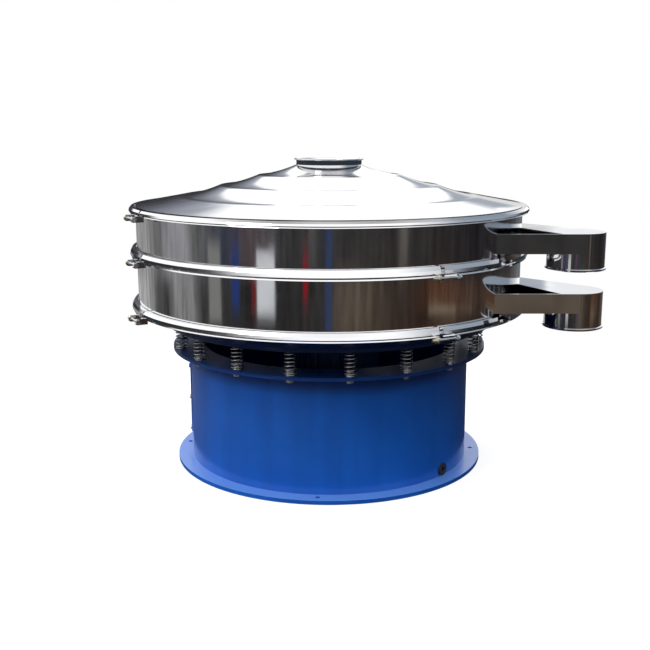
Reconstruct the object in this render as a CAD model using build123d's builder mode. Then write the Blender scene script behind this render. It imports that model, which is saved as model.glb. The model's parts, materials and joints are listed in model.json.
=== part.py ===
"""Rotary vibrating sieve with one screen deck, two outlets and a sprung top on a round painted base.

Units are millimetres. The machine's axis is Z, the floor is z = 0, and -Y is the front.
Azimuths are degrees from the front, growing towards +X.
"""
import os
from math import cos, degrees, pi, radians, sin, sqrt, tan

from build123d import *

os.makedirs("parts", exist_ok=True)

# Sheet, plate and clearance sizes
sheet = 3.0
plate = 5.0
seat_gap = 0.3
running_gap = 0.05
cut_margin = 10.0

# Drums, after which such a machine is named, their rims and the gaskets between them
drum_radius = 600.0
rim_reach = 13.0
rim_thickness = 5.0
lower_drum_height = 164.0
upper_drum_height = 131.0
bottom_gasket_height = 7.6
middle_gasket_height = 11.6
lid_gasket_height = 4.0

# Vibrating body: round table with a cone that widens to the bottom clamp
table_thickness = 10.0
table_bore_gap = 4.0
cone_reach = 85.0
cone_height = 52.0

# Springs in a ring between the base and the vibrating body
spring_count = 18
spring_azimuth = 7.0
spring_inset = 37.0
spring_height = 74.0
spring_diameter = 35.0
spring_wire = 4.0
spring_turns = 8
spring_turn_sides = 8
spring_guide_clearance = 0.7
spring_guide_height = 14.0
spring_neck = 12.0
spring_nut_margin = 3.5
spring_nut_height = 10.0

# Base: spring flange, round shell and floor flange
spring_flange_reach = 20.0
spring_flange_inset = 45.0
spring_flange_thickness = 10.0
shell_inset = 33.0
shell_height = 350.0
base_flange_reach = 47.0
base_flange_inset = 30.0
base_flange_thickness = 12.0
anchor_offset = 20.0
anchor_hole = 14.0
anchor_count = 4
anchor_azimuth = -4.0

# Access cover on the left of the base, and the cable hole at its right
window_azimuth = -105.0
window_angle = 26.0
window_rise = 72.0
window_height = 186.0
cover_lap = 24.0
cover_gasket = 3.0
cover_thickness = 5.0
cover_bolt_flats = 13.0
cover_bolt_head = 5.5
cable_azimuth = 50.0
cable_rise = 20.0
cable_hole = 28.0
grommet_bore = 14.0
grommet_lip = 5.0

# Clamp bands, with heights of the section's corners as shares of half the band, and their lugs, bolts and nuts
band_thickness = 3.0
band_overlap = 10.0
band_top_reach = 1.0
band_crease_reach = 6.0
band_crease_share = 0.3
band_depth = 7.5
band_corner_share = 0.36
band_lip_reach = 3.0
band_lip_share = 0.72
band_lip_flare = 1.0
band_gap_angle = 1.2
clamp_azimuth = 29.0
lug_offset = 30.0
lug_thickness = 6.0
lug_height = 18.0
clamp_bolt_size = 8.0
clamp_bolt_drop = 12.0
clamp_bolt_reach = 25.0
clamp_bolt_head = 5.0
clamp_nut_flats = 13.0
clamp_nut_height = 8.0

# Discharge pan under the screen
pan_rim_rise = 14.0
pan_rise = 76.0
pan_rim_width = 14.0
pan_dome_steps = (1, 0.62, 0.25)

# Spouts, one over the other, and the collars under their ends
spout_azimuth = 67.4
spout_reach = 169.0
spout_root_depth = 120.0
spout_end_radius = 82.0
spout_taper = 22.6
spout_height = 56.0
upper_spout_rise = 25.0
lower_spout_rise = 20.0
gap_edge_inner = 35.0
gap_edge_reach = 147.0
lip_width = 3.0
collar_drop = 52.0
collar_wall = 4.0
bead_reach = 4.0
bead_height = 4.0

# Screen deck between the drums
deck_clearance = 10.0
deck_wall = 8.0
deck_depth = 36.0
deck_flange = 3.6
deck_reach = 20.0
mesh_thickness = 1.0
tray_thickness = 3.0
tray_opening = 70.0
tray_pitch = 110.0
ball_diameter = 30.0
ball_facets = 5
ball_cells = ((-2, 0), (-1, -2), (-1, 1), (0, -1), (1, -2), (1, 1))

# Lid cone with three raised steps, and the inlet collar
inlet_radius = 102.0
inlet_height = 19.4
inlet_skirt = 9.0
inlet_rim_reach = 6.6
inlet_rim_height = 5.0
lid_rise = 128.0
step_pitch = 120.0
step_width = 10.0
step_count = 3
lid_slope = 0.28
step_slope = 0.03
lid_shoulder = 5.0

# Vertical vibration motor hung in the table
motor_radius = 96.0
motor_wall = 10.0
motor_drop = 256.0
motor_flange_reach = 54.0
motor_flange_thickness = 14.0
motor_bolt_inset = 22.0
motor_bolt_count = 8
motor_bolt_size = 12.0
motor_bolt_flats = 19.0
motor_bolt_head = 7.5
motor_nut_height = 10.0
motor_cap_radius = 90.0
motor_cap_thickness = 16.0
cap_clearance = 1.0
fin_count = 24
fin_reach = 12.0
fin_root = 2.0
fin_thickness = 4.0
fin_margin = 24.0
bearing_radius = 42.0
bearing_height = 20.0
stator_radius = 62.0
stator_height = 130.0
air_gap = 0.5
terminal_box_azimuth = 50.0
terminal_box_width = 90.0
terminal_box_depth = 60.0
terminal_box_height = 100.0
terminal_box_corner = 8.0
gland_diameter = 24.0
gland_length = 20.0

# Rotor with its two eccentric weights
shaft_radius = 20.0
shaft_overhang = 82.0
shaft_chamfer = 2.0
weight_radius = 130.0
weight_thickness = 34.0
weight_hub_radius = 38.0
weight_clearance = 14.0
weight_angle = 150.0
weight_heading = -90.0

# Radii that follow from the sizes above, from the drum inwards and down to the floor flange
rim_radius = drum_radius + rim_reach
drum_inner = drum_radius - sheet
deck_radius = drum_radius - deck_clearance
spout_end_distance = drum_radius + spout_reach
table_radius = drum_radius - cone_reach
spring_ring = table_radius - spring_inset
spring_flange_radius = spring_ring + spring_flange_reach
shell_radius = spring_ring - shell_inset
shell_inner = shell_radius - plate
spring_flange_bore = shell_radius - spring_flange_inset
base_flange_radius = shell_radius + base_flange_reach
base_flange_bore = shell_radius - base_flange_inset
anchor_ring = shell_radius + anchor_offset
motor_flange_radius = motor_radius + motor_flange_reach
motor_bolt_ring = motor_flange_radius - motor_bolt_inset
table_bore = motor_radius + fin_reach + table_bore_gap
clamp_bolt_distance = rim_radius + band_depth + clamp_bolt_reach
lug_face = lug_offset + lug_thickness / 2

# Levels that follow from the sizes above, from the floor upwards
shell_top = base_flange_thickness + shell_height
spring_bottom = shell_top + spring_flange_thickness
table_bottom = spring_bottom + spring_height
table_top = table_bottom + table_thickness
motor_bottom = table_bottom - motor_drop
motor_top = table_top + motor_flange_thickness
shaft_bottom = motor_bottom - motor_cap_thickness - shaft_overhang
shaft_top = motor_top + motor_cap_thickness + shaft_overhang
bottom_clamp_z = table_top + cone_height
middle_clamp_z = bottom_clamp_z + lower_drum_height
lid_clamp_z = middle_clamp_z + upper_drum_height
cone_rim_top = bottom_clamp_z - bottom_gasket_height / 2
lower_drum_bottom = bottom_clamp_z + bottom_gasket_height / 2
lower_drum_top = middle_clamp_z - middle_gasket_height / 2
upper_drum_bottom = middle_clamp_z + middle_gasket_height / 2
upper_drum_top = lid_clamp_z - lid_gasket_height / 2
lid_rim_bottom = lid_clamp_z + lid_gasket_height / 2
lid_top_z = lid_clamp_z + lid_rise
inlet_top = lid_top_z + inlet_height
lower_spout_z = bottom_clamp_z + lower_spout_rise
upper_spout_z = middle_clamp_z + upper_spout_rise
spout_half_angle = radians(spout_taper)


def write(piece, name):
    """Labels a finished piece and writes its STEP file."""
    piece.part.label = name
    export_step(piece.part, f"parts/{name}.step")


def radial_plane(azimuth):
    """The upright plane through the axis at an azimuth: local x is the radius and local y is Z."""
    a = radians(azimuth - 90)
    return Plane(origin=(0, 0, 0), x_dir=(cos(a), sin(a), 0), z_dir=(sin(a), -cos(a), 0))


def facing_plane(azimuth, distance, height):
    """The plane square to the radius at a point of the outside, with local y along Z."""
    a = radians(azimuth - 90)
    origin = (distance * cos(a), distance * sin(a), height)
    return Plane(origin=origin, x_dir=(-sin(a), cos(a), 0), z_dir=(cos(a), sin(a), 0))


def level_plane(azimuth, height):
    """The level plane at a height, with local x along the radius at an azimuth."""
    a = radians(azimuth - 90)
    return Plane(origin=(0, 0, height), x_dir=(cos(a), sin(a), 0), z_dir=(0, 0, 1))


def turned(points, azimuth=90, arc=360):
    """A closed (radius, z) outline turned about the axis, from an azimuth and through an arc."""
    with BuildPart() as body:
        with BuildSketch(radial_plane(azimuth)):
            with BuildLine():
                Polyline(*points, close=True)
            make_face()
        revolve(axis=Axis.Z, revolution_arc=arc)
    return body


def box_profile(inner, outer, bottom, top):
    """The (radius, z) outline of a plain ring."""
    return [(inner, bottom), (outer, bottom), (outer, top), (inner, top)]


# Floor flange with four anchor holes
with BuildPart() as base_flange:
    with BuildSketch():
        Circle(base_flange_radius)
        Circle(base_flange_bore, mode=Mode.SUBTRACT)
        with PolarLocations(anchor_ring, anchor_count, start_angle=anchor_azimuth - 90):
            Circle(anchor_hole / 2, mode=Mode.SUBTRACT)
    extrude(amount=base_flange_thickness)
write(base_flange, "base_flange")

# Round base shell with the access window and the cable hole
window_width = 2 * shell_radius * sin(radians(window_angle / 2))
window_depth = shell_radius * (1 - cos(radians(window_angle / 2)))
window_bottom = base_flange_thickness + window_rise
window_centre_z = window_bottom + window_height / 2
cable_height = base_flange_thickness + cable_rise
with BuildPart() as window_cutter:
    with BuildSketch(facing_plane(window_azimuth, shell_inner - window_depth - cut_margin, window_centre_z)):
        Rectangle(window_width, window_height)
    extrude(amount=plate + window_depth + 2 * cut_margin)

with BuildPart() as base_shell:
    with BuildSketch(Plane.XY.offset(base_flange_thickness)):
        Circle(shell_radius)
        Circle(shell_inner, mode=Mode.SUBTRACT)
    extrude(amount=shell_height)
    add(window_cutter.part, mode=Mode.SUBTRACT)
    with BuildSketch(facing_plane(cable_azimuth, shell_inner - cut_margin, cable_height)):
        Circle(cable_hole / 2)
    extrude(amount=plate + 2 * cut_margin, mode=Mode.SUBTRACT)
write(base_shell, "base_shell")

# Spring flange on the shell, with a square hole for each spring bolt
with BuildPart() as spring_flange:
    with BuildSketch(Plane.XY.offset(shell_top)):
        Circle(spring_flange_radius)
        Circle(spring_flange_bore, mode=Mode.SUBTRACT)
        with PolarLocations(spring_ring, spring_count, start_angle=spring_azimuth - 90):
            Rectangle(spring_neck + 2 * seat_gap, spring_neck + 2 * seat_gap, mode=Mode.SUBTRACT)
    extrude(amount=spring_flange_thickness)
write(spring_flange, "spring_flange")

# Curved access cover on its gasket
cover_half = degrees(window_width / 2 + cover_lap) / shell_radius
cover_start = window_azimuth - cover_half
cover_low = window_bottom - cover_lap
cover_high = window_bottom + window_height + cover_lap
cover_inner = shell_radius + cover_gasket
cover_outer = cover_inner + cover_thickness
gasket_half = degrees(window_width / 2) / shell_radius
cover_bolt_angle = (cover_half + gasket_half) / 2
cover_bolt_span = window_height + cover_lap

cover_bolt_places = []
for side in (-1, 1):
    for level in (-1, 0, 1):
        cover_bolt_places.append((window_azimuth + side * cover_bolt_angle, level * cover_bolt_span / 2))

gasket_plate = turned(box_profile(shell_radius, cover_inner, cover_low, cover_high), cover_start, 2 * cover_half)
with BuildPart() as access_gasket:
    add(gasket_plate)
    add(window_cutter.part, mode=Mode.SUBTRACT)
write(access_gasket, "access_cover_gasket")

access_cover = turned(box_profile(cover_inner, cover_outer, cover_low, cover_high), cover_start, 2 * cover_half)
write(access_cover, "access_cover")

with BuildPart() as cover_bolts:
    for azimuth, offset_z in cover_bolt_places:
        with BuildSketch(facing_plane(azimuth, cover_outer, window_centre_z + offset_z)):
            RegularPolygon(cover_bolt_flats / 2, 6, major_radius=False)
        extrude(amount=cover_bolt_head)
write(cover_bolts, "access_cover_bolts")

# Rubber grommet in the cable hole
with BuildPart() as grommet:
    with BuildSketch(facing_plane(cable_azimuth, shell_inner - plate, cable_height)):
        Circle(cable_hole / 2 - seat_gap)
    extrude(amount=2 * plate + grommet_lip)
    with BuildSketch(facing_plane(cable_azimuth, shell_radius + seat_gap, cable_height)):
        Circle(cable_hole / 2 + grommet_lip)
    extrude(amount=grommet_lip)
    with BuildSketch(facing_plane(cable_azimuth, shell_inner - plate - cut_margin, cable_height)):
        Circle(grommet_bore / 2)
    extrude(amount=2 * plate + grommet_lip + 2 * cut_margin, mode=Mode.SUBTRACT)
write(grommet, "cable_grommet")


def coil_height(turn):
    """How far the wire's middle has risen after some turns: the first and last turn lie flat against their seats."""
    seat = spring_wire / 2 + seat_gap
    closed_rise = spring_wire + seat_gap
    open_turns = spring_turns - 2
    open_rise = spring_height - 2 * seat - 2 * closed_rise
    steep_turns = min(max(turn - 1, 0), open_turns)
    flat_turns = turn - steep_turns
    return seat + closed_rise * flat_turns + open_rise * steep_turns / open_turns


# Coil springs, with a hexagonal guide bolt inside each end
coil_radius = (spring_diameter - spring_wire) / 2
coil_points = []
for k in range(spring_turns * spring_turn_sides + 1):
    turn = k / spring_turn_sides
    coil_points.append(
        (coil_radius * cos(2 * pi * turn), coil_radius * sin(2 * pi * turn), spring_bottom + coil_height(turn))
    )
with BuildPart() as one_spring:
    with BuildLine() as coil:
        Polyline(*coil_points)
    with BuildSketch(Plane(origin=coil.line @ 0, z_dir=coil.line % 0, x_dir=(1, 0, 0))):
        Rectangle(spring_wire, spring_wire)
    sweep(transition=Transition.RIGHT)
with BuildPart() as springs:
    with PolarLocations(spring_ring, spring_count, start_angle=spring_azimuth - 90):
        add(one_spring.part)
write(springs, "springs")

coil_bore = coil_radius * cos(pi / spring_turn_sides) - spring_wire / 2
guide_radius = coil_bore - spring_guide_clearance
with BuildPart() as lower_guides:
    with BuildSketch(Plane.XY.offset(spring_bottom)):
        with PolarLocations(spring_ring, spring_count, start_angle=spring_azimuth - 90):
            RegularPolygon(guide_radius, 6)
    extrude(amount=spring_guide_height)
    with BuildSketch(Plane.XY.offset(spring_bottom)):
        with PolarLocations(spring_ring, spring_count, start_angle=spring_azimuth - 90):
            Rectangle(spring_neck, spring_neck)
    extrude(amount=-spring_flange_thickness)
write(lower_guides, "spring_guide_bolts")

with BuildPart() as spring_nuts:
    with BuildSketch(Plane.XY.offset(shell_top)):
        with PolarLocations(spring_ring, spring_count, start_angle=spring_azimuth - 90):
            RegularPolygon(spring_neck / 2 + spring_nut_margin, 6, major_radius=False)
    extrude(amount=-spring_nut_height)
write(spring_nuts, "spring_nuts")

with BuildPart() as upper_guides:
    with BuildSketch(Plane.XY.offset(table_bottom)):
        with PolarLocations(spring_ring, spring_count, start_angle=spring_azimuth - 90):
            RegularPolygon(guide_radius, 6)
    extrude(amount=-spring_guide_height)
write(upper_guides, "spring_top_guides")

# Vibrating table with the motor bore and bolt holes
with BuildPart() as table:
    with BuildSketch(Plane.XY.offset(table_bottom)):
        Circle(table_radius)
        Circle(table_bore, mode=Mode.SUBTRACT)
        with PolarLocations(motor_bolt_ring, motor_bolt_count):
            Circle(motor_bolt_size / 2 + seat_gap, mode=Mode.SUBTRACT)
    extrude(amount=table_thickness)
write(table, "vibrating_table")

# Cone from the table to the bottom clamp
cone_rim_bottom = cone_rim_top - rim_thickness
cone_profile = [
    (table_radius - plate, table_top),
    (table_radius, table_top),
    (drum_radius, cone_rim_bottom),
    (rim_radius, cone_rim_bottom),
    (rim_radius, cone_rim_top),
    (drum_radius - plate, cone_rim_top),
]
write(turned(cone_profile), "body_cone")

# Vertical vibration motor: finned housing, end caps, bearings and stator
housing_bore = motor_radius - motor_wall
housing_body = turned(
    [
        (housing_bore, motor_bottom),
        (motor_radius, motor_bottom),
        (motor_radius, table_top),
        (motor_flange_radius, table_top),
        (motor_flange_radius, motor_top),
        (housing_bore, motor_top),
    ]
)
with BuildPart() as motor_housing:
    add(housing_body)
    with BuildSketch(Plane.XY.offset(motor_bottom + fin_margin)):
        with PolarLocations(motor_radius + (fin_reach - fin_root) / 2, fin_count, start_angle=180 / fin_count):
            Rectangle(fin_reach + fin_root, fin_thickness)
    extrude(amount=table_bottom - motor_bottom - 2 * fin_margin)
    with BuildSketch(Plane.XY.offset(table_top)):
        with PolarLocations(motor_bolt_ring, motor_bolt_count):
            Circle(motor_bolt_size / 2 + seat_gap)
    extrude(amount=motor_flange_thickness, mode=Mode.SUBTRACT)
    with BuildSketch(facing_plane(terminal_box_azimuth, 0, (motor_bottom + table_bottom) / 2)):
        Rectangle(terminal_box_width, terminal_box_height)
    extrude(amount=motor_radius + fin_reach)
    with BuildSketch(Plane.XY.offset(motor_bottom)):
        Circle(housing_bore)
    extrude(amount=motor_top - motor_bottom, mode=Mode.SUBTRACT)
write(motor_housing, "motor_housing")

with BuildPart() as terminal_box:
    with BuildSketch(
        facing_plane(terminal_box_azimuth, motor_radius + fin_reach, (motor_bottom + table_bottom) / 2)
    ):
        RectangleRounded(terminal_box_width, terminal_box_height, terminal_box_corner)
    extrude(amount=terminal_box_depth)
write(terminal_box, "terminal_box")

gland_z = (motor_bottom + table_bottom - terminal_box_height) / 2
gland_distance = motor_radius + fin_reach + terminal_box_depth / 2
with BuildPart() as gland:
    with BuildSketch(level_plane(terminal_box_azimuth, gland_z)):
        with Locations((gland_distance, 0)):
            RegularPolygon(gland_diameter / 2, 6)
            Circle(gland_diameter / 4, mode=Mode.SUBTRACT)
    extrude(amount=-gland_length)
write(gland, "terminal_gland")

bearing_bore = shaft_radius + running_gap
cap_bore = shaft_radius + cap_clearance
write(
    turned(
        [
            (cap_bore, motor_bottom - motor_cap_thickness),
            (motor_radius, motor_bottom - motor_cap_thickness),
            (motor_radius, motor_bottom),
            (housing_bore, motor_bottom),
            (housing_bore, motor_bottom + bearing_height),
            (bearing_radius, motor_bottom + bearing_height),
            (bearing_radius, motor_bottom),
            (cap_bore, motor_bottom),
        ]
    ),
    "motor_lower_cap",
)
write(
    turned(
        [
            (cap_bore, motor_top + motor_cap_thickness),
            (motor_cap_radius, motor_top + motor_cap_thickness),
            (motor_cap_radius, motor_top),
            (housing_bore, motor_top),
            (housing_bore, motor_top - bearing_height),
            (bearing_radius, motor_top - bearing_height),
            (bearing_radius, motor_top),
            (cap_bore, motor_top),
        ]
    ),
    "motor_upper_cap",
)
write(
    turned(box_profile(bearing_bore, bearing_radius, motor_bottom, motor_bottom + bearing_height)),
    "lower_bearing",
)
write(turned(box_profile(bearing_bore, bearing_radius, motor_top - bearing_height, motor_top)), "upper_bearing")

core_centre = (motor_bottom + motor_top) / 2
core_bottom = core_centre - stator_height / 2
core_top = core_centre + stator_height / 2
write(turned(box_profile(stator_radius, housing_bore, core_bottom, core_top)), "stator_core")

with BuildPart() as motor_bolts:
    with BuildSketch(Plane.XY.offset(motor_top)):
        with PolarLocations(motor_bolt_ring, motor_bolt_count):
            RegularPolygon(motor_bolt_flats / 2, 6, major_radius=False)
    extrude(amount=motor_bolt_head)
    with BuildSketch(Plane.XY.offset(motor_top)):
        with PolarLocations(motor_bolt_ring, motor_bolt_count):
            Circle(motor_bolt_size / 2)
    extrude(amount=-motor_flange_thickness - table_thickness)
    with BuildSketch(Plane.XY.offset(table_bottom)):
        with PolarLocations(motor_bolt_ring, motor_bolt_count):
            RegularPolygon(motor_bolt_flats / 2, 6, major_radius=False)
    extrude(amount=-motor_nut_height)
write(motor_bolts, "motor_bolts")

# Rotor: shaft, core and two eccentric weights
with BuildPart() as shaft:
    with BuildSketch(Plane.XY.offset(shaft_bottom)):
        Circle(shaft_radius)
    extrude(amount=shaft_top - shaft_bottom)
    chamfer(shaft.edges().filter_by(GeomType.CIRCLE), shaft_chamfer)
write(shaft, "motor_shaft")

write(turned(box_profile(shaft_radius, stator_radius - air_gap, core_bottom, core_top)), "rotor_core")


def eccentric_weight(bottom, bore):
    """A sector-shaped weight with a round hub, lying from bottom upwards."""
    half = weight_angle / 2
    with BuildPart() as weight:
        with BuildSketch(Plane.XY.offset(bottom)):
            with BuildLine():
                CenterArc((0, 0), weight_radius, weight_heading - half, weight_angle)
                Line((0, 0), weight_radius * Vector(1, 0).rotate(Axis.Z, weight_heading - half))
                Line((0, 0), weight_radius * Vector(1, 0).rotate(Axis.Z, weight_heading + half))
            make_face()
            Circle(weight_hub_radius)
            Circle(bore, mode=Mode.SUBTRACT)
        extrude(amount=weight_thickness)
    return weight


upper_weight_bottom = motor_top + motor_cap_thickness + weight_clearance
lower_weight_bottom = motor_bottom - motor_cap_thickness - weight_clearance - weight_thickness
write(eccentric_weight(upper_weight_bottom, shaft_radius), "upper_eccentric_weight")
write(eccentric_weight(lower_weight_bottom, shaft_radius + running_gap), "lower_eccentric_weight")

# Domed discharge pan, highest in the middle, with a level rim at the drum
pan_rim_z = bottom_clamp_z + pan_rim_rise
dome_radius = drum_inner - pan_rim_width
dome_outline = [(drum_inner, pan_rim_z)]
for part_of_radius in pan_dome_steps:
    rise = pan_rise * (1 - part_of_radius**2)
    dome_outline.append((dome_radius * part_of_radius, pan_rim_z + rise))
dome_outline.append((0, pan_rim_z + rise))
pan_underside = [(radius, z - sheet) for radius, z in reversed(dome_outline)]
write(turned(dome_outline + pan_underside), "discharge_pan")


def spout_outline(radius, root):
    """The spout's plan: two walls that taper to a round end, from a root line inside the drum."""
    reach = radius * sin(spout_half_angle)
    width = radius * cos(spout_half_angle)
    tangent_x = spout_end_distance + reach
    root_y = width + (tangent_x - root) * tan(spout_half_angle)
    Line((root, root_y), (tangent_x, width))
    ThreePointArc((tangent_x, width), (spout_end_distance + radius, 0), (tangent_x, -width))
    Line((tangent_x, -width), (root, -root_y))
    Line((root, -root_y), (root, root_y))


def spout_passage(bottom, reach_in):
    """The clear space inside a spout, as a tool that also cuts the drum's wall."""
    with BuildPart() as passage:
        with BuildSketch(level_plane(spout_azimuth, bottom + sheet)):
            with BuildLine():
                spout_outline(spout_end_radius - sheet, reach_in)
            make_face()
        extrude(amount=spout_height - 2 * sheet)
    return passage.part


spout_root = drum_radius - spout_root_depth
gap_edge_outer = drum_radius + gap_edge_reach
wall_width = (spout_end_radius - sheet) * cos(spout_half_angle)
wall_tangent = spout_end_distance + (spout_end_radius - sheet) * sin(spout_half_angle)


def spout(bottom):
    """A spout box with a round end, open to the drum, with a hole down to its collar and a slanted top edge."""
    passage = spout_passage(bottom, spout_root)
    near_wall_outer = -(wall_width + (wall_tangent - gap_edge_outer) * tan(spout_half_angle)) + lip_width
    near_wall_root = -(wall_width + (wall_tangent - spout_root) * tan(spout_half_angle)) + lip_width
    with BuildPart() as box:
        with BuildSketch(level_plane(spout_azimuth, bottom)):
            with BuildLine():
                spout_outline(spout_end_radius, spout_root)
            make_face()
        extrude(amount=spout_height)
        add(passage, mode=Mode.SUBTRACT)
        with BuildSketch(level_plane(spout_azimuth, bottom)):
            with Locations((spout_end_distance, 0)):
                Circle(spout_end_radius - sheet)
        extrude(amount=sheet, mode=Mode.SUBTRACT)
        with BuildSketch(level_plane(spout_azimuth, bottom + spout_height - sheet)):
            with BuildLine():
                Polyline(
                    (spout_root, gap_edge_inner),
                    (drum_radius, gap_edge_inner),
                    (gap_edge_outer, near_wall_outer),
                    (spout_root, near_wall_root),
                    close=True,
                )
            make_face()
        extrude(amount=sheet, mode=Mode.SUBTRACT)
        with BuildSketch(Plane.XY.offset(bottom)):
            Circle(drum_radius)
        extrude(amount=spout_height, mode=Mode.SUBTRACT)
    return box


def collar(bottom):
    """The round outlet under a spout's end, with a rolled bead at its mouth."""
    low = bottom - collar_drop
    outer = spout_end_distance + spout_end_radius
    with BuildPart() as tube:
        with BuildSketch(radial_plane(spout_azimuth)):
            with BuildLine():
                Polyline(
                    (outer, low + 2 * bead_height),
                    (outer, bottom),
                    (outer - collar_wall, bottom),
                    (outer - collar_wall, low),
                    (outer, low),
                    (outer + bead_reach, low + bead_height / 2),
                    (outer + bead_reach, low + bead_height * 3 / 2),
                    close=True,
                )
            make_face()
        centre = level_plane(spout_azimuth, 0).from_local_coords(Vector(spout_end_distance, 0, 0))
        revolve(axis=Axis(centre, (0, 0, 1)))
    return tube


def drum(bottom, top, spout_bottom):
    """A drum wall with a rim at each end and the opening for its spout."""
    wall = turned(
        [
            (drum_inner, bottom),
            (rim_radius, bottom),
            (rim_radius, bottom + rim_thickness),
            (drum_radius, bottom + rim_thickness),
            (drum_radius, top - rim_thickness),
            (rim_radius, top - rim_thickness),
            (rim_radius, top),
            (drum_inner, top),
        ]
    )
    with BuildPart() as pierced:
        add(wall)
        add(spout_passage(spout_bottom, spout_root), mode=Mode.SUBTRACT)
    return pierced


write(drum(lower_drum_bottom, lower_drum_top, lower_spout_z), "lower_drum")
write(spout(lower_spout_z), "lower_spout")
write(collar(lower_spout_z), "lower_outlet_collar")
write(drum(upper_drum_bottom, upper_drum_top, upper_spout_z), "upper_drum")
write(spout(upper_spout_z), "upper_spout")
write(collar(upper_spout_z), "upper_outlet_collar")

# Screen deck: hoop with a clamped flange, fine mesh, square-hole support tray and cleaning balls
deck_bottom = middle_clamp_z - deck_depth
deck_flange_top = middle_clamp_z + deck_flange / 2
deck_inner = deck_radius - deck_wall
deck_edge = deck_radius + deck_reach
write(
    turned(
        [
            (deck_inner, deck_bottom),
            (deck_radius, deck_bottom),
            (deck_radius, deck_flange_top - deck_flange),
            (deck_edge, deck_flange_top - deck_flange),
            (deck_edge, deck_flange_top),
            (deck_inner, deck_flange_top),
        ]
    ),
    "screen_hoop",
)
write(turned(box_profile(0, deck_radius, deck_flange_top, deck_flange_top + mesh_thickness)), "sieve_mesh")

tray_reach = int(deck_inner // tray_pitch)
tray_clear = deck_inner - tray_opening
tray_places = []
for column in range(-tray_reach, tray_reach + 1):
    for row in range(-tray_reach, tray_reach + 1):
        if sqrt(column**2 + row**2) * tray_pitch < tray_clear:
            tray_places.append((column * tray_pitch, row * tray_pitch))
with BuildPart() as tray:
    with BuildSketch(Plane.XY.offset(deck_bottom)):
        Circle(deck_inner)
        with Locations(*tray_places):
            Rectangle(tray_opening, tray_opening, mode=Mode.SUBTRACT)
    extrude(amount=tray_thickness)
write(tray, "ball_tray")

ball_centre_z = deck_bottom + tray_thickness + ball_diameter / 2
ball_outline = []
for k in range(ball_facets + 1):
    latitude = pi * k / ball_facets
    ball_outline.append((ball_diameter / 2 * sin(latitude), -ball_diameter / 2 * cos(latitude)))
one_ball = turned(ball_outline)
with BuildPart() as balls:
    for column, row in ball_cells:
        with Locations(((column + 0.5) * tray_pitch, (row + 0.5) * tray_pitch, ball_centre_z)):
            add(one_ball.part)
write(balls, "cleaning_balls")

# Gaskets in the three clamped joints; the middle one wraps the screen hoop's edge
write(
    turned(box_profile(drum_inner, rim_radius, cone_rim_top, lower_drum_bottom)),
    "bottom_gasket",
)
write(
    turned(
        [
            (drum_inner, lower_drum_top),
            (rim_radius, lower_drum_top),
            (rim_radius, upper_drum_bottom),
            (drum_inner, upper_drum_bottom),
            (drum_inner, deck_flange_top),
            (deck_edge, deck_flange_top),
            (deck_edge, deck_flange_top - deck_flange),
            (drum_inner, deck_flange_top - deck_flange),
        ]
    ),
    "screen_gasket",
)
write(turned(box_profile(drum_inner, rim_radius, upper_drum_top, lid_rim_bottom)), "lid_gasket")

# Lid: a shallow cone with raised rings one pitch apart, and a flat rim under the clamp
lid_points = [(inlet_radius, lid_top_z)]
ring_radius = inlet_radius
ring_z = lid_top_z
for step in range(step_count):
    ring_radius += step_pitch - step_width
    ring_z -= lid_slope * (step_pitch - step_width)
    lid_points.append((ring_radius, ring_z))
    ring_radius += step_width
    ring_z -= step_slope * step_width
    lid_points.append((ring_radius, ring_z))
lid_rim_top = lid_rim_bottom + sheet
lid_underside = [(radius, z - sheet) for radius, z in reversed(lid_points)]
lid_edge = [
    (drum_radius, lid_rim_top + lid_shoulder),
    (drum_radius, lid_rim_top),
    (rim_radius, lid_rim_top),
    (rim_radius, lid_rim_bottom),
    (drum_inner, lid_rim_bottom),
    (drum_inner, lid_rim_bottom + lid_shoulder),
]
write(turned(lid_points + lid_edge + lid_underside), "lid_cone")

# Inlet collar with a rolled rim
write(
    turned(
        [
            (inlet_radius - sheet, lid_top_z - inlet_skirt),
            (inlet_radius, lid_top_z - inlet_skirt),
            (inlet_radius, inlet_top - inlet_rim_height),
            (inlet_radius + inlet_rim_reach, inlet_top - inlet_rim_height),
            (inlet_radius + inlet_rim_reach, inlet_top),
            (inlet_radius - sheet, inlet_top),
        ]
    ),
    "inlet_collar",
)


def joint_plane(azimuth, offset, height):
    """The upright plane square to the outside, some way along its tangent: local x is the radius."""
    a = radians(azimuth - 90)
    origin = (-offset * sin(a), offset * cos(a), height)
    return Plane(origin=origin, x_dir=(cos(a), sin(a), 0), z_dir=(-sin(a), cos(a), 0))


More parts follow.
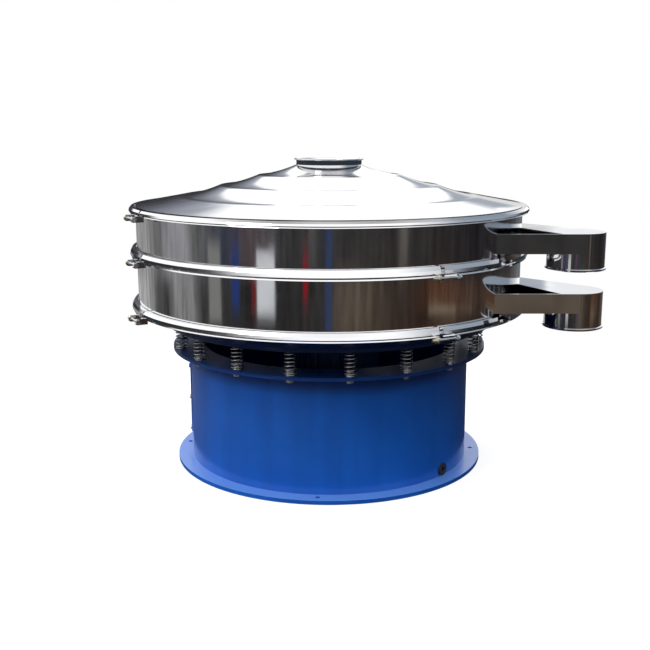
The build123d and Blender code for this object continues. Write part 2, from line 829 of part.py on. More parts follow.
def clamp_band(level, stack, joints):
    """Clamp band segments round a joint: a creased section with a turned lip, and a slotted lug at each end."""
    half = stack / 2 + band_thickness
    inner = rim_radius - band_overlap
    profile = [
        (inner, level + half),
        (rim_radius + band_top_reach, level + half),
        (rim_radius + band_crease_reach, level + band_crease_share * half),
        (rim_radius + band_depth, level - band_corner_share * half),
        (rim_radius + band_lip_reach, level - band_lip_share * half),
        (rim_radius + band_lip_reach + band_lip_flare, level - half),
        (inner, level - half),
        (inner, level - stack / 2),
        (rim_radius, level - stack / 2),
        (rim_radius, level + stack / 2),
        (inner, level + stack / 2),
    ]
    arc = 360 / len(joints) - band_gap_angle
    lug_start = rim_radius + band_lip_reach
    slot_width = clamp_bolt_size + 2 * seat_gap
    with BuildPart() as band:
        for azimuth in joints:
            with BuildSketch(radial_plane(azimuth + band_gap_angle / 2)):
                with BuildLine():
                    Polyline(*profile, close=True)
                make_face()
            revolve(axis=Axis.Z, revolution_arc=arc)
        for azimuth in joints:
            for side in (-1, 1):
                near_face = side * lug_offset - lug_thickness / 2
                with BuildSketch(joint_plane(azimuth, near_face, level - clamp_bolt_drop)):
                    with Locations(((lug_start + clamp_bolt_distance) / 2, 0)):
                        Rectangle(clamp_bolt_distance - lug_start, lug_height)
                    with Locations((clamp_bolt_distance, 0)):
                        Circle(lug_height / 2)
                        Circle(slot_width / 2, mode=Mode.SUBTRACT)
                    with Locations((clamp_bolt_distance + lug_height / 2, 0)):
                        Rectangle(lug_height, slot_width, mode=Mode.SUBTRACT)
                extrude(amount=lug_thickness)
    return band


def clamp_bolts(level, joints):
    """The bolts that draw the band ends together, each with its head on one lug."""
    with BuildPart() as bolts:
        for azimuth in joints:
            head_plane = joint_plane(azimuth, lug_face, level - clamp_bolt_drop)
            with BuildSketch(head_plane):
                with Locations((clamp_bolt_distance, 0)):
                    RegularPolygon(clamp_nut_flats / 2, 6, major_radius=False)
            extrude(amount=clamp_bolt_head)
            with BuildSketch(head_plane):
                with Locations((clamp_bolt_distance, 0)):
                    Circle(clamp_bolt_size / 2)
            extrude(amount=-2 * lug_face - 2 * clamp_nut_height)
    return bolts


def clamp_nuts(level, joints):
    """The nut of each clamp bolt, against the other lug."""
    with BuildPart() as nuts:
        for azimuth in joints:
            with BuildSketch(joint_plane(azimuth, -lug_face, level - clamp_bolt_drop)):
                with Locations((clamp_bolt_distance, 0)):
                    RegularPolygon(clamp_nut_flats / 2, 6, major_radius=False)
                    Circle(clamp_bolt_size / 2 + running_gap, mode=Mode.SUBTRACT)
            extrude(amount=-clamp_nut_height)
    return nuts


quarter_joints = [clamp_azimuth + 90 * k for k in range(4)]
half_joints = [clamp_azimuth - 90, clamp_azimuth + 90]
bottom_stack = bottom_gasket_height + 2 * rim_thickness
middle_stack = middle_gasket_height + 2 * rim_thickness
lid_stack_top = lid_rim_top
lid_stack_bottom = upper_drum_top - rim_thickness
lid_stack = lid_stack_top - lid_stack_bottom
lid_stack_level = (lid_stack_top + lid_stack_bottom) / 2

write(clamp_band(bottom_clamp_z, bottom_stack, quarter_joints), "bottom_clamp_band")
write(clamp_bolts(bottom_clamp_z, quarter_joints), "bottom_clamp_bolts")
write(clamp_nuts(bottom_clamp_z, quarter_joints), "bottom_clamp_nuts")
write(clamp_band(middle_clamp_z, middle_stack, quarter_joints), "middle_clamp_band")
write(clamp_bolts(middle_clamp_z, quarter_joints), "middle_clamp_bolts")
write(clamp_nuts(middle_clamp_z, quarter_joints), "middle_clamp_nuts")
write(clamp_band(lid_stack_level, lid_stack, half_joints), "lid_clamp_band")
write(clamp_bolts(lid_stack_level, half_joints), "lid_clamp_bolts")
write(clamp_nuts(lid_stack_level, half_joints), "lid_clamp_nuts")
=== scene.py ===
"""Looks of the rotary vibrating sieve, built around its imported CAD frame. Units are metres."""
import json
import math

import bmesh
import bpy
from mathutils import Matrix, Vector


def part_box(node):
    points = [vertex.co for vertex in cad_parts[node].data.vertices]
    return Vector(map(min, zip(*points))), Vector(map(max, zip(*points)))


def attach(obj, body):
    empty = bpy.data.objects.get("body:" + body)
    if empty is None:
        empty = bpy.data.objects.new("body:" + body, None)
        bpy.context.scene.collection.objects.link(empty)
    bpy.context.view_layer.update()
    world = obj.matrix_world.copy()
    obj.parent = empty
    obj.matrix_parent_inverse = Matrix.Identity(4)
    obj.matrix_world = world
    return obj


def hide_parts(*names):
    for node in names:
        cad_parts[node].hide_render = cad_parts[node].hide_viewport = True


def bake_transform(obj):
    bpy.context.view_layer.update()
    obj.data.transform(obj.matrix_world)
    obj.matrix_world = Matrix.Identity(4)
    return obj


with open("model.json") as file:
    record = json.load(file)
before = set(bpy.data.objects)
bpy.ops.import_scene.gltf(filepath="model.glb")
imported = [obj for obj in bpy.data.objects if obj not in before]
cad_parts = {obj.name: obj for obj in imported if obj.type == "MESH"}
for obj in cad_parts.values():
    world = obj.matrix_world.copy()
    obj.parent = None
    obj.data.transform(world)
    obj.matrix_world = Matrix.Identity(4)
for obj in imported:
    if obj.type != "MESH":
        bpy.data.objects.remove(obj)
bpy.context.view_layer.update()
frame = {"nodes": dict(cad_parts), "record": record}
nodes = frame["nodes"]

# Camera, as fitted to the circles in the photograph
CAMERA_DISTANCE = 3.0089
CAMERA_HEIGHT = 1.0423
CAMERA_PITCH_DOWN = 11.74
CAMERA_LENS = 52.52
CAMERA_SENSOR = 36.0
CAMERA_SHIFT_X = -0.0061

# Stage
FLOOR_RADIUS = 2.4
FLOOR_SEGMENTS = 96
FLOOR_FADE_START = 1.0
FLOOR_FADE_END = 2.1
FLOOR_COLOR = (0.30, 0.30, 0.30)
FLOOR_BOUNCE_LEFT = (0.06, 0.06, 0.06)
FLOOR_BOUNCE_RIGHT = (0.015, 0.015, 0.015)
FLOOR_BOUNCE_CHANGE = 0.5
FLOOR_GLOW = 0.72
KEY_POWER = 26.0
KEY_SIZE = 1.6
KEY_PLACE = (-2.3, -2.6, 2.6)
KEY_AIM_HEIGHT = 0.4

# Surroundings that the polished pieces mirror. A turn runs from 0 at the back by way of the left, the
# front at 0.5 and the right to 1. A height is the upward part of the direction, from -1 to 1.
UPPER_TONES_FROM = (-0.165, -0.140)
DARK_GROUND_BELOW = (-0.200, -0.235)
DARK_GROUND = (0.05, 0.036, 0.028)
DARK_ROOM_FROM = (-0.085, -0.06)
DARK_ROOM = (0.03, 0.04, 0.055)
STREAKS_ROUND = 150.0
STREAKS_UPWARD = 14.0
SKY_FROM = (-0.01, 0.01)
HORIZON_SOFT = 0.03
LOW_RIGHT_FROM = (0.88, 0.93)
DARK_SIDE_BELOW = (0.90, 0.70)

# Boards in those surroundings: turns, heights and colour
CARD_SOFT_SIDE = 0.0016
CARD_SOFT_LEVEL = 0.003
LID_BOARD = ((0.943, 0.9635), (0.085, 0.21), (0.92, 0.94, 0.97))
BOARDS = (
    ((0.299, 0.324), (-0.200, -0.116), (0.22, 0.22, 0.21)),
    ((0.344, 0.357), (-0.186, -0.120), (0.022, 0.045, 0.17)),
    ((0.377, 0.386), (-0.190, -0.150), (0.13, 0.02, 0.025)),
    ((0.386, 0.414), (-0.194, -0.127), (0.66, 0.68, 0.70)),
    ((0.4615, 0.4695), (-0.176, -0.130), (0.26, 0.012, 0.02)),
    ((0.4945, 0.503), (-0.240, -0.060), (0.035, 0.055, 0.13)),
    ((0.640, 0.780), (-0.203, -0.192), (0.022, 0.016, 0.014)),
    ((0.662, 0.714), (-0.190, -0.183), (0.26, 0.22, 0.16)),
    ((0.714, 0.752), (-0.187, -0.182), (0.13, 0.10, 0.07)),
)

# Lid between its steps, and the inlet's rolled rim
LID_STEP_PITCH = 0.120
LID_STEP_WIDTH = 0.010
LID_STEP_COUNT = 3
LID_STEP_DROP = 0.0003
LID_SLOPE = 0.28
LID_DISH = 0.0041
LID_LAST_DISH = 0.0004
LID_SHOULDER = 0.005
DRUM_RIM_REACH = 0.013
SHEET = 0.003
DISH_STEPS = 14
SHARP_ANGLE = math.radians(28)
LATHE_SEGMENTS = 240
INLET_RIM_REACH = 0.0066
INLET_RIM_HEIGHT = 0.0056
RIM_STEPS = 10
RIM_START_ANGLE = -110
RIM_SWEEP = 290

# Springs
SPRING_COUNT = 18
SPRING_AZIMUTH = 7.0
SPRING_TURNS = 7.5
SPRING_FLAT_TURNS = 0.9
SPRING_DIAMETER = 0.0355
SPRING_WIRE = 0.0042
SPRING_EDGE = 0.020
WIRE_SIDES = 10
TURN_STEPS = 28

# Blue paint: three close tones, with painted light on the upward faces of the floor flange and painted
# shade above the spring flange, under the drums
PAINT_TONES = ((0.006, 0.092, 0.46), (0.007, 0.103, 0.50), (0.010, 0.114, 0.54))
# Painted light: a paler tone on upward faces near the floor, on top of the floor flange
PAINTED_TOP_LIGHT = (0.080, 0.205, 0.58)
PAINTED_TOP_LIGHT_BELOW = (0.2, 0.1)
UPWARD_FACE_FROM = (0.6, 0.95)
# Painted shade: the dark tone laid over the paint above the spring flange, under the drums
UNDER_DRUMS_PAINTED_SHADE = (0.003, 0.034, 0.165)
PAINTED_SHADE_FROM = (0.350, 0.374)

# Polished stainless: tone and roughness where the polish is clear, and where a haze lies on it
STEEL_CLEAR = (0.768, 0.768, 0.784)
STEEL_CLEAR_ROUGHNESS = 0.04
STEEL_HAZY = (0.80, 0.80, 0.808)
STEEL_HAZY_ROUGHNESS = 0.11
STEEL_HAZE_RANGE = (0.3, 0.7)


def link(tree, start, end):
    tree.links.new(start, end)


def math_node(tree, operation, first, second=None, third=None):
    """A math node whose inputs are numbers or sockets; returns its output."""
    node = tree.nodes.new("ShaderNodeMath")
    node.operation = operation
    for slot, value in enumerate((first, second, third)):
        if value is None:
            continue
        if isinstance(value, (int, float)):
            node.inputs[slot].default_value = value
        else:
            link(tree, value, node.inputs[slot])
    return node.outputs[0]


def ramp_node(tree, factor, stops):
    """A colour ramp from (position, colour) stops; returns its colour output."""
    node = tree.nodes.new("ShaderNodeValToRGB")
    ramp = node.color_ramp
    while len(ramp.elements) > 1:
        ramp.elements.remove(ramp.elements[-1])
    ramp.elements[0].position = stops[0][0]
    ramp.elements[0].color = (*stops[0][1], 1.0)
    for position, color in stops[1:]:
        element = ramp.elements.new(position)
        element.color = (*color, 1.0)
    link(tree, factor, node.inputs[0])
    return node.outputs[0]


def mix_color(tree, factor, first, second, blend="MIX"):
    """A colour mix; the factor and colours are values or sockets; returns its output."""
    node = tree.nodes.new("ShaderNodeMix")
    node.data_type = "RGBA"
    node.blend_type = blend
    for slot, value in ((0, factor), (6, first), (7, second)):
        if isinstance(value, (int, float)):
            node.inputs[slot].default_value = value
        elif isinstance(value, tuple):
            node.inputs[slot].default_value = (*value, 1.0)
        else:
            link(tree, value, node.inputs[slot])
    return node.outputs[2]


def noise_node(tree, vector, scale, detail=2.0, roughness=0.5):
    """Soft noise over a vector; returns its value."""
    node = tree.nodes.new("ShaderNodeTexNoise")
    node.inputs["Scale"].default_value = scale
    node.inputs["Detail"].default_value = detail
    node.inputs["Roughness"].default_value = roughness
    link(tree, vector, node.inputs["Vector"])
    return node.outputs["Fac"]


def grey(level):
    return (level, level, level)


def edge(tree, value, start, end):
    """A soft step from 0 at start to 1 at end."""
    node = tree.nodes.new("ShaderNodeMapRange")
    node.interpolation_type = "SMOOTHSTEP"
    node.inputs["From Min"].default_value = start
    node.inputs["From Max"].default_value = end
    link(tree, value, node.inputs["Value"])
    return node.outputs[0]


def spread(tree, value, low, high, start=0.0, end=1.0):
    """A value that runs from start to end, stretched to run from low to high."""
    node = tree.nodes.new("ShaderNodeMapRange")
    node.inputs["From Min"].default_value = start
    node.inputs["From Max"].default_value = end
    node.inputs["To Min"].default_value = low
    node.inputs["To Max"].default_value = high
    link(tree, value, node.inputs["Value"])
    return node.outputs[0]


def axes(tree, vector):
    """The x, y and z of a vector, as outputs."""
    node = tree.nodes.new("ShaderNodeSeparateXYZ")
    link(tree, vector, node.inputs[0])
    return node.outputs


def card(tree, below, turn, height, sides, levels, color):
    """Lays a plain board over the colour below, between two turns and two heights."""
    left = edge(tree, turn, sides[0] - CARD_SOFT_SIDE, sides[0] + CARD_SOFT_SIDE)
    right = edge(tree, turn, sides[1] + CARD_SOFT_SIDE, sides[1] - CARD_SOFT_SIDE)
    low = edge(tree, height, levels[0] - CARD_SOFT_LEVEL, levels[0] + CARD_SOFT_LEVEL)
    high = edge(tree, height, levels[1] + CARD_SOFT_LEVEL, levels[1] - CARD_SOFT_LEVEL)
    across = math_node(tree, "MULTIPLY", left, right)
    upward = math_node(tree, "MULTIPLY", low, high)
    return mix_color(tree, math_node(tree, "MULTIPLY", across, upward), below, color)


def ground_tones(tree, turn, height):
    """What the upright walls mirror: dark tones, pale towards the back left, with boards and streaks."""
    upper = ramp_node(
        tree,
        turn,
        [
            (0.05, grey(0.30)),
            (0.13, grey(0.34)),
            (0.18, grey(0.13)),
            (0.21, (0.30, 0.30, 0.32)),
            (0.255, (0.28, 0.28, 0.29)),
            (0.28, grey(0.11)),
            (0.33, (0.04, 0.048, 0.07)),
            (0.372, (0.09, 0.07, 0.075)),
            (0.41, (0.075, 0.07, 0.075)),
            (0.425, grey(0.042)),
            (0.47, grey(0.04)),
            (0.476, grey(0.095)),
            (0.483, grey(0.04)),
            (0.605, (0.034, 0.031, 0.03)),
            (0.615, (0.12, 0.11, 0.10)),
            (0.628, (0.034, 0.031, 0.03)),
            (0.76, (0.018, 0.016, 0.018)),
            (0.86, (0.04, 0.037, 0.04)),
            (0.92, (0.16, 0.17, 0.18)),
        ],
    )
    lower = ramp_node(
        tree,
        turn,
        [
            (0.05, grey(0.45)),
            (0.13, grey(0.42)),
            (0.17, grey(0.09)),
            (0.205, grey(0.05)),
            (0.225, grey(0.26)),
            (0.265, grey(0.24)),
            (0.285, grey(0.05)),
            (0.33, grey(0.04)),
            (0.375, grey(0.02)),
            (0.43, grey(0.022)),
            (0.49, grey(0.03)),
            (0.52, (0.11, 0.085, 0.065)),
            (0.555, (0.10, 0.08, 0.06)),
            (0.60, (0.045, 0.032, 0.026)),
            (0.64, (0.04, 0.024, 0.018)),
            (0.675, (0.10, 0.045, 0.022)),
            (0.74, (0.075, 0.046, 0.034)),
            (0.79, (0.04, 0.026, 0.02)),
            (0.86, (0.09, 0.065, 0.05)),
            (0.92, (0.16, 0.16, 0.16)),
        ],
    )
    tones = mix_color(tree, edge(tree, height, *UPPER_TONES_FROM), lower, upper)
    tones = mix_color(tree, edge(tree, height, *DARK_GROUND_BELOW), tones, DARK_GROUND)
    streak_place = tree.nodes.new("ShaderNodeCombineXYZ")
    link(tree, math_node(tree, "MULTIPLY", turn, STREAKS_ROUND), streak_place.inputs[0])
    link(tree, math_node(tree, "MULTIPLY", height, STREAKS_UPWARD), streak_place.inputs[1])
    streaks = noise_node(tree, streak_place.outputs[0], 1.0, 4.0, 0.65)
    gain = ramp_node(tree, streaks, [(0.34, grey(0.55)), (0.5, grey(1.0)), (0.68, grey(1.5))])
    tones = mix_color(tree, 1.0, tones, gain, "MULTIPLY")
    for sides, levels, color in BOARDS:
        tones = card(tree, tones, turn, height, sides, levels, color)
    return mix_color(tree, edge(tree, height, *DARK_ROOM_FROM), tones, DARK_ROOM)


def sky_tones(tree, turn, height):
    """What the lid and the upward flanks mirror: pale above a low grey horizon, and darker at the right."""
    horizon = ramp_node(
        tree,
        turn,
        [
            (0.0, grey(0.07)),
            (0.008, grey(0.07)),
            (0.0125, grey(0.33)),
            (0.05, grey(0.34)),
            (0.07, grey(0.15)),
            (0.50, grey(0.13)),
            (0.90, grey(0.07)),
            (0.94, grey(0.0)),
            (0.963, grey(0.0)),
            (0.965, grey(0.24)),
            (0.980, grey(0.24)),
            (0.983, grey(0.07)),
            (1.0, grey(0.07)),
        ],
    )
    low = ramp_node(
        tree,
        height,
        [
            (0.0, grey(0.03)),
            (0.13, (0.06, 0.06, 0.07)),
            (0.22, (0.20, 0.21, 0.25)),
            (0.36, (0.55, 0.58, 0.64)),
        ],
    )
    low_right = ramp_node(
        tree,
        height,
        [(0.02, grey(0.06)), (0.04, grey(0.80)), (0.10, grey(0.80)), (0.13, (0.40, 0.44, 0.50))],
    )
    low = mix_color(tree, edge(tree, turn, *LOW_RIGHT_FROM), low, low_right)
    over = edge(tree, math_node(tree, "SUBTRACT", height, horizon), -HORIZON_SOFT, HORIZON_SOFT)
    high = ramp_node(
        tree,
        height,
        [
            (0.74, grey(1.3)),
            (0.84, grey(0.72)),
            (0.92, grey(0.50)),
            (0.97, grey(0.80)),
            (1.0, grey(0.35)),
        ],
    )
    tones = mix_color(tree, over, low, high)
    side = ramp_node(
        tree,
        turn,
        [(0.62, grey(1.0)), (0.72, (0.29, 0.33, 0.38)), (0.86, (0.22, 0.26, 0.32)), (0.93, grey(1.0))],
    )
    darkened = mix_color(tree, 1.0, tones, side, "MULTIPLY")
    tones = mix_color(tree, edge(tree, height, *DARK_SIDE_BELOW), tones, darkened)
    return card(tree, tones, turn, height, *LID_BOARD)


def make_world():
    """White for the camera, light from above for matt surfaces, and a mirrored room for the rest."""
    world = bpy.data.worlds.new("studio")
    bpy.context.scene.world = world
    world.use_nodes = True
    world.cycles.sampling_method = "NONE"
    tree = world.node_tree
    tree.nodes.clear()
    coordinates = tree.nodes.new("ShaderNodeTexCoord")
    x, y, height = axes(tree, coordinates.outputs["Generated"])
    heading = math_node(tree, "ARCTAN2", x, math_node(tree, "MULTIPLY", y, -1.0))
    turn = math_node(tree, "MULTIPLY_ADD", heading, 0.5 / math.pi, 0.5)
    ground = ground_tones(tree, turn, height)
    sky = sky_tones(tree, turn, height)
    mirrored = mix_color(tree, edge(tree, height, *SKY_FROM), ground, sky)
    overhead = ramp_node(
        tree, height, [(0.0, grey(0.05)), (0.35, grey(0.25)), (0.62, grey(2.6)), (0.85, grey(5.0))]
    )
    # The machine's right side gets less of the light from above
    dimmer = ramp_node(
        tree,
        turn,
        [
            (0.30, grey(1.0)),
            (0.48, grey(0.85)),
            (0.62, grey(0.50)),
            (0.85, grey(0.50)),
            (0.95, grey(1.0)),
        ],
    )
    overhead = mix_color(tree, 1.0, overhead, dimmer, "MULTIPLY")
    path = tree.nodes.new("ShaderNodeLightPath")
    color = mix_color(tree, path.outputs["Is Diffuse Ray"], mirrored, overhead)
    color = mix_color(tree, path.outputs["Is Camera Ray"], color, grey(1.0))
    background = tree.nodes.new("ShaderNodeBackground")
    link(tree, color, background.inputs["Color"])
    output = tree.nodes.new("ShaderNodeOutputWorld")
    link(tree, background.outputs[0], output.inputs["Surface"])


def make_camera():
    data = bpy.data.cameras.new("camera")
    data.lens = CAMERA_LENS
    data.sensor_width = CAMERA_SENSOR
    data.shift_x = CAMERA_SHIFT_X
    camera = bpy.data.objects.new("camera", data)
    camera.location = (0, -CAMERA_DISTANCE, CAMERA_HEIGHT)
    camera.rotation_euler = (math.radians(90 - CAMERA_PITCH_DOWN), 0, 0)
    bpy.context.scene.collection.objects.link(camera)
    bpy.context.scene.camera = camera


def make_lights():
    data = bpy.data.lights.new("key", "AREA")
    data.energy = KEY_POWER
    data.size = KEY_SIZE
    key = bpy.data.objects.new("key", data)
    key.location = KEY_PLACE
    aim = bpy.data.objects.new("key_aim", None)
    aim.location = (0, 0, KEY_AIM_HEIGHT)
    bpy.context.scene.collection.objects.link(key)
    bpy.context.scene.collection.objects.link(aim)
    track = key.constraints.new("TRACK_TO")
    track.target = aim


def make_floor():
    """A pale round floor that fades into the white, and throws less light back at the right."""
    mesh = bpy.data.meshes.new("floor")
    build = bmesh.new()
    bmesh.ops.create_circle(build, cap_ends=True, segments=FLOOR_SEGMENTS, radius=FLOOR_RADIUS)
    build.to_mesh(mesh)
    build.free()
    floor = bpy.data.objects.new("floor", mesh)
    bpy.context.scene.collection.objects.link(floor)
    material = bpy.data.materials.new("floor_pale")
    material.use_nodes = True
    tree = material.node_tree
    tree.nodes.clear()
    place = tree.nodes.new("ShaderNodeTexCoord").outputs["Object"]
    length = tree.nodes.new("ShaderNodeVectorMath")
    length.operation = "LENGTH"
    link(tree, place, length.inputs[0])
    fade = edge(tree, length.outputs["Value"], FLOOR_FADE_START, FLOOR_FADE_END)
    right = edge(tree, axes(tree, place)[0], -FLOOR_BOUNCE_CHANGE, FLOOR_BOUNCE_CHANGE)
    bounce = mix_color(tree, right, FLOOR_BOUNCE_LEFT, FLOOR_BOUNCE_RIGHT)
    seen = tree.nodes.new("ShaderNodeLightPath").outputs["Is Camera Ray"]
    diffuse = tree.nodes.new("ShaderNodeBsdfDiffuse")
    link(tree, mix_color(tree, seen, bounce, FLOOR_COLOR), diffuse.inputs["Color"])
    glow = tree.nodes.new("ShaderNodeEmission")
    link(tree, math_node(tree, "MULTIPLY", seen, FLOOR_GLOW), glow.inputs["Strength"])
    lit = tree.nodes.new("ShaderNodeAddShader")
    link(tree, diffuse.outputs[0], lit.inputs[0])
    link(tree, glow.outputs[0], lit.inputs[1])
    clear = tree.nodes.new("ShaderNodeBsdfTransparent")
    blend = tree.nodes.new("ShaderNodeMixShader")
    link(tree, fade, blend.inputs[0])
    link(tree, lit.outputs[0], blend.inputs[1])
    link(tree, clear.outputs[0], blend.inputs[2])
    output = tree.nodes.new("ShaderNodeOutputMaterial")
    link(tree, blend.outputs[0], output.inputs["Surface"])
    mesh.materials.append(material)


def new_material(name):
    """A material with a Principled shader; returns the material, its tree and the shader."""
    material = bpy.data.materials.new(name)
    material.use_nodes = True
    tree = material.node_tree
    return material, tree, tree.nodes["Principled BSDF"]


def object_place(tree, scale=(1, 1, 1)):
    """Object coordinates, scaled along each axis."""
    place = tree.nodes.new("ShaderNodeTexCoord")
    mapping = tree.nodes.new("ShaderNodeMapping")
    mapping.inputs["Scale"].default_value = scale
    link(tree, place.outputs["Object"], mapping.inputs["Vector"])
    return mapping.outputs[0]


def bump(tree, shader, height, strength, distance):
    """Roughens the shader's surface by a height."""
    node = tree.nodes.new("ShaderNodeBump")
    node.inputs["Strength"].default_value = strength
    node.inputs["Distance"].default_value = distance
    link(tree, height, node.inputs["Height"])
    link(tree, node.outputs[0], shader.inputs["Normal"])


def blue_paint():
    """Glossy blue machine paint with clouds, faint runs and a slight orange peel; painted light on low
    upward faces and painted shade under the drums.
    """
    material, tree, shader = new_material("blue_paint")
    place = object_place(tree)
    cloud = noise_node(tree, place, 6.0, 4.0)
    color = ramp_node(tree, cloud, list(zip((0.3, 0.5, 0.72), PAINT_TONES)))
    runs = noise_node(tree, object_place(tree, (16.0, 16.0, 0.7)), 1.0, 3.0)
    shade = ramp_node(tree, runs, [(0.35, grey(0.94)), (0.65, grey(1.08))])
    color = mix_color(tree, 1.0, color, shade, "MULTIPLY")
    height = axes(tree, place)[2]
    # Painted shade: the paint turns dark above the spring flange, where the drums overhang it
    color = mix_color(tree, edge(tree, height, *PAINTED_SHADE_FROM), color, UNDER_DRUMS_PAINTED_SHADE)
    # Painted light: upward faces low down are made paler, as if lit from above
    normal = tree.nodes.new("ShaderNodeNewGeometry").outputs["Normal"]
    upward = edge(tree, axes(tree, normal)[2], *UPWARD_FACE_FROM)
    pale = math_node(tree, "MULTIPLY", upward, edge(tree, height, *PAINTED_TOP_LIGHT_BELOW))
    link(tree, mix_color(tree, pale, color, PAINTED_TOP_LIGHT), shader.inputs["Base Color"])
    roughness = spread(tree, noise_node(tree, place, 22.0, 5.0), 0.24, 0.38)
    link(tree, roughness, shader.inputs["Roughness"])
    shader.inputs["Coat Weight"].default_value = 0.35
    shader.inputs["Coat Roughness"].default_value = 0.12
    bump(tree, shader, noise_node(tree, place, 260.0, 2.0), 0.06, 0.001)
    return material


def polished_steel():
    """Mirror polished sheet: slight waves in the sheet, and faint polishing haze."""
    material, tree, shader = new_material("polished_stainless")
    haze = noise_node(tree, object_place(tree), 9.0, 5.0, 0.6)
    color = ramp_node(tree, haze, list(zip(STEEL_HAZE_RANGE, (STEEL_CLEAR, STEEL_HAZY))))
    link(tree, color, shader.inputs["Base Color"])
    shader.inputs["Metallic"].default_value = 1.0
    roughness = spread(tree, haze, STEEL_CLEAR_ROUGHNESS, STEEL_HAZY_ROUGHNESS, *STEEL_HAZE_RANGE)
    link(tree, roughness, shader.inputs["Roughness"])
    waves = noise_node(tree, object_place(tree, (7.0, 7.0, 1.2)), 1.0, 1.0)
    bump(tree, shader, waves, 0.05, 0.02)
    return material


def plain_metal(name, color, roughness, metallic=1.0, grain=160.0, depth=0.1):
    """A small metal part: tone and gloss vary a little, with a fine grain."""
    material, tree, shader = new_material(name)
    place = object_place(tree)
    cloud = noise_node(tree, place, 35.0, 4.0)
    dark = tuple(0.72 * c for c in color)
    tones = ramp_node(tree, cloud, [(0.3, dark), (0.7, color)])
    link(tree, tones, shader.inputs["Base Color"])
    shader.inputs["Metallic"].default_value = metallic
    link(tree, spread(tree, cloud, roughness * 0.75, roughness * 1.3), shader.inputs["Roughness"])
    bump(tree, shader, noise_node(tree, place, grain, 3.0), depth, 0.0006)
    return material


def soft_part(name, color, roughness):
    """Rubber, silicone or moulded plastic with a fine matt skin."""
    material, tree, shader = new_material(name)
    place = object_place(tree)
    cloud = noise_node(tree, place, 18.0, 4.0)
    dark = tuple(0.8 * c for c in color)
    link(tree, ramp_node(tree, cloud, [(0.3, dark), (0.7, color)]), shader.inputs["Base Color"])
    shader.inputs["Roughness"].default_value = roughness
    bump(tree, shader, noise_node(tree, place, 300.0, 2.0), 0.15, 0.0004)
    return material


def woven_mesh():
    """Fine woven wire cloth."""
    material, tree, shader = new_material("mesh_steel")
    place = object_place(tree, (900.0, 900.0, 1.0))
    checker = tree.nodes.new("ShaderNodeTexChecker")
    checker.inputs["Color1"].default_value = (0.52, 0.53, 0.55, 1)
    checker.inputs["Color2"].default_value = (0.22, 0.23, 0.24, 1)
    checker.inputs["Scale"].default_value = 1.0
    link(tree, place, checker.inputs["Vector"])
    link(tree, checker.outputs["Color"], shader.inputs["Base Color"])
    shader.inputs["Metallic"].default_value = 1.0
    shader.inputs["Roughness"].default_value = 0.38
    return material


MAKERS = {
    "blue_paint": blue_paint,
    "polished_stainless": polished_steel,
    "mesh_steel": woven_mesh,
    "spring_steel": lambda: plain_metal("spring_steel", (0.50, 0.50, 0.51), 0.24),
    "zinc_steel": lambda: plain_metal("zinc_steel", (0.72, 0.73, 0.75), 0.28),
    "yellow_zinc": lambda: plain_metal("yellow_zinc", (0.85, 0.70, 0.38), 0.28),
    "motor_iron": lambda: plain_metal("motor_iron", (0.03, 0.09, 0.28), 0.45, 0.0, 220.0, 0.3),
    "machined_steel": lambda: plain_metal("machined_steel", (0.58, 0.59, 0.61), 0.22),
    "weight_iron": lambda: plain_metal("weight_iron", (0.20, 0.20, 0.21), 0.5, 0.8, 220.0, 0.4),
    "core_iron": lambda: plain_metal("core_iron", (0.18, 0.17, 0.16), 0.5, 0.8),
    "white_silicone": lambda: soft_part("white_silicone", (0.78, 0.78, 0.76), 0.5),
    "black_rubber": lambda: soft_part("black_rubber", (0.02, 0.02, 0.02), 0.6),
    "grey_plastic": lambda: soft_part("grey_plastic", (0.12, 0.12, 0.13), 0.45),
}


def dress_nodes():
    """Gives each CAD node the material of its slot in the record; returns the materials by slot."""
    made = {slot: maker() for slot, maker in MAKERS.items()}
    for part in frame["record"]["subparts"]:
        mesh = nodes[part["node"]].data
        mesh.materials.clear()
        mesh.materials.append(made[part["material_slot"]])
    return made


def coil(build, centre_x, centre_y, bottom, top, start_angle):
    """A coil spring of round wire whose first and last turns lie flat."""
    radius = (SPRING_DIAMETER - SPRING_WIRE) / 2
    low = bottom + SPRING_WIRE / 2
    high = top - SPRING_WIRE / 2
    steep_turns = SPRING_TURNS - 2 * SPRING_FLAT_TURNS
    pitch = (high - low - 2 * SPRING_FLAT_TURNS * SPRING_WIRE) / steep_turns
    rings = []
    for k in range(int(SPRING_TURNS * TURN_STEPS) + 1):
        turn = k / TURN_STEPS
        steep = min(max(turn - SPRING_FLAT_TURNS, 0), steep_turns)
        z = low + (turn - steep) * SPRING_WIRE + steep * pitch
        angle = start_angle + 2 * math.pi * turn
        out = (math.cos(angle), math.sin(angle))
        ring = []
        for side in range(WIRE_SIDES):
            around = 2 * math.pi * side / WIRE_SIDES
            reach = radius + SPRING_WIRE / 2 * math.cos(around)
            lift = SPRING_WIRE / 2 * math.sin(around)
            place = (centre_x + out[0] * reach, centre_y + out[1] * reach, z + lift)
            ring.append(build.verts.new(place))
        rings.append(ring)
    for first, second in zip(rings, rings[1:]):
        for side in range(WIRE_SIDES):
            after = (side + 1) % WIRE_SIDES
            face = build.faces.new((first[side], second[side], second[after], first[after]))
            face.smooth = True
    build.faces.new(rings[0])
    build.faces.new(reversed(rings[-1]))


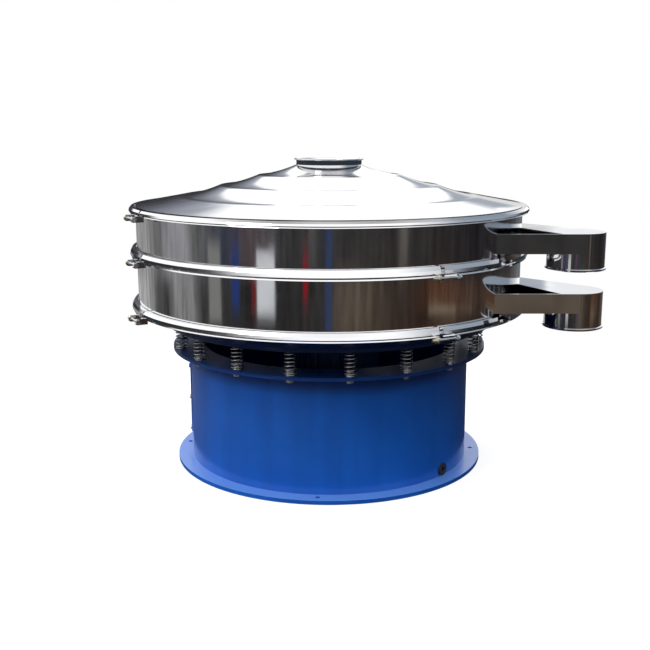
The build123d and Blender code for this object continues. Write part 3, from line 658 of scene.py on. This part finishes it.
def make_springs(material):
    """Round-wire coils over the CAD springs, which stretch between the base and the vibrating body."""
    flange_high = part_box("spring_flange")[1]
    bottom = flange_high.z
    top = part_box("vibrating_table")[0].z
    ring_radius = flange_high.x - SPRING_EDGE
    build = bmesh.new()
    for k in range(SPRING_COUNT):
        azimuth = math.radians(SPRING_AZIMUTH - 90 + 360 * k / SPRING_COUNT)
        centre_x = ring_radius * math.cos(azimuth)
        centre_y = ring_radius * math.sin(azimuth)
        coil(build, centre_x, centre_y, bottom, top, azimuth)
    bmesh.ops.recalc_face_normals(build, faces=build.faces)
    mesh = bpy.data.meshes.new("coil_springs")
    build.to_mesh(mesh)
    build.free()
    mesh.materials.append(material)
    springs = bpy.data.objects.new("coil_springs", mesh)
    bpy.context.scene.collection.objects.link(springs)
    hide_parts("springs")
    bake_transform(springs)


def lathe(name, outline, material):
    """A closed (radius, z) outline turned about the axis, as an object with smooth faces."""
    build = bmesh.new()
    rings = []
    for k in range(LATHE_SEGMENTS):
        angle = 2 * math.pi * k / LATHE_SEGMENTS
        out = (math.cos(angle), math.sin(angle))
        rings.append([build.verts.new((r * out[0], r * out[1], z)) for r, z in outline])
    count = len(outline)
    for k, ring in enumerate(rings):
        following = rings[(k + 1) % LATHE_SEGMENTS]
        for i in range(count):
            after = (i + 1) % count
            face = build.faces.new((ring[i], following[i], following[after], ring[after]))
            face.smooth = True
    bmesh.ops.recalc_face_normals(build, faces=build.faces)
    mesh = bpy.data.meshes.new(name)
    build.to_mesh(mesh)
    build.free()
    mesh.set_sharp_from_angle(angle=SHARP_ANGLE)
    mesh.materials.append(material)
    piece = bpy.data.objects.new(name, mesh)
    bpy.context.scene.collection.objects.link(piece)
    return piece


def dished(start, end, dish):
    """Points from start to end, hanging below the straight line by the dish in the middle."""
    points = []
    for k in range(DISH_STEPS + 1):
        share = k / DISH_STEPS
        radius = start[0] + share * (end[0] - start[0])
        height = start[1] + share * (end[1] - start[1]) - 4 * dish * share * (1 - share)
        points.append((radius, height))
    return points


def stand_for(piece, node, body):
    """The piece is shown in place of a CAD node, on that node's body."""
    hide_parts(node)
    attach(piece, body)


def make_lid(material):
    """The lid cone with the sheet dished a little between its raised steps."""
    low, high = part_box("lid_cone")
    rim_radius = high.x
    drum_radius = rim_radius - DRUM_RIM_REACH
    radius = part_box("inlet_collar")[1].x - INLET_RIM_REACH
    height = high.z
    skin = []
    for _ in range(LID_STEP_COUNT):
        outer = radius + LID_STEP_PITCH - LID_STEP_WIDTH
        lower = height - LID_SLOPE * (LID_STEP_PITCH - LID_STEP_WIDTH)
        skin += dished((radius, height), (outer, lower), LID_DISH)
        radius = outer + LID_STEP_WIDTH
        height = lower - LID_STEP_DROP
    rim_top = low.z + SHEET
    skin += dished((radius, height), (drum_radius, rim_top + LID_SHOULDER), LID_LAST_DISH)
    edge_points = [
        (drum_radius, rim_top),
        (rim_radius, rim_top),
        (rim_radius, low.z),
        (drum_radius - SHEET, low.z),
        (drum_radius - SHEET, low.z + LID_SHOULDER),
    ]
    underside = [(r, z - SHEET) for r, z in reversed(skin[:-1])]
    lid = lathe("lid_dished_cone", skin + edge_points + underside, material)
    stand_for(lid, "lid_cone", "sieve")


def make_inlet(material):
    """The inlet collar with a round rolled rim."""
    low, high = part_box("inlet_collar")
    outer = high.x - INLET_RIM_REACH
    inner = outer - SHEET
    half_width = (high.x - inner) / 2
    half_height = INLET_RIM_HEIGHT / 2
    points = [(inner, low.z), (outer, low.z)]
    for k in range(RIM_STEPS + 1):
        angle = math.radians(RIM_START_ANGLE + RIM_SWEEP * k / RIM_STEPS)
        radius = inner + half_width * (1 + math.cos(angle))
        points.append((radius, high.z + half_height * (math.sin(angle) - 1)))
    inlet = lathe("inlet_rolled_collar", points, material)
    stand_for(inlet, "inlet_collar", "sieve")


bpy.context.scene.view_settings.view_transform = "Standard"
make_world()
make_camera()
make_lights()
make_floor()
materials = dress_nodes()
make_springs(materials["spring_steel"])
make_lid(materials["polished_stainless"])
make_inlet(materials["polished_stainless"])
